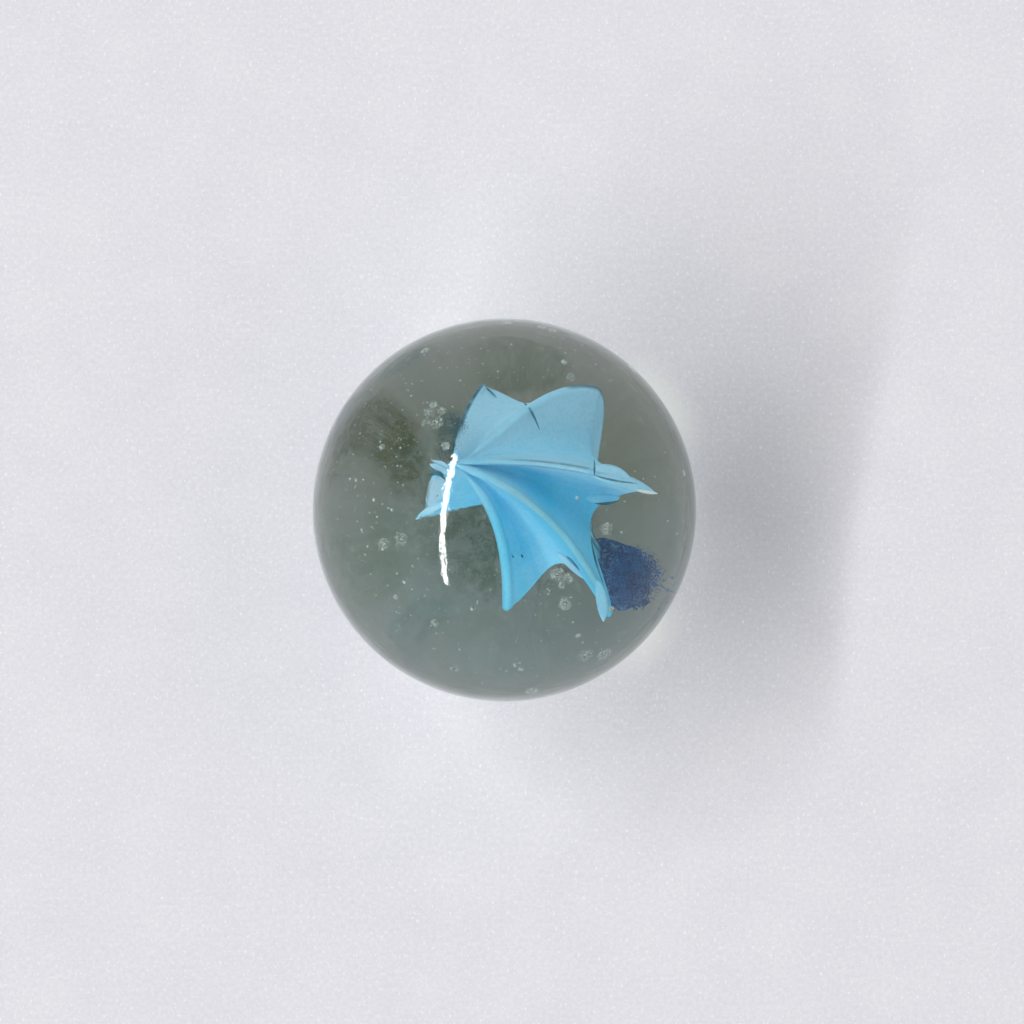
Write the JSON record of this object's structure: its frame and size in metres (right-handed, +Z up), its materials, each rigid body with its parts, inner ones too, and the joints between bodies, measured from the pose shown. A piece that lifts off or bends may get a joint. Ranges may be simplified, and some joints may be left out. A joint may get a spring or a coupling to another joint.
{
  "type": "glass marble",
  "caption": "Clear grey-green glass marble with a moulded bundle of opaque pale-blue glass vanes sealed inside.",
  "frame": {"origin": "centre of the ball", "axes": "+Z up through the ball's centre, away from the point it lies on; the bundle of vanes runs from high on the -X +Y side to low on the +X -Y side"},
  "size_m": [0.016, 0.016, 0.016],
  "materials": {
    "clear_glass": "polished clear soda-lime glass with a faint grey-green tint and fine seed bubbles",
    "blue_glass": "opaque pale-blue glass, smooth, darker cobalt blue at the knot"
  },
  "bodies": {
    "root": {"clear_glass": "clear_glass", "blue_vanes": "blue_glass"}
  },
  "joints": []
}
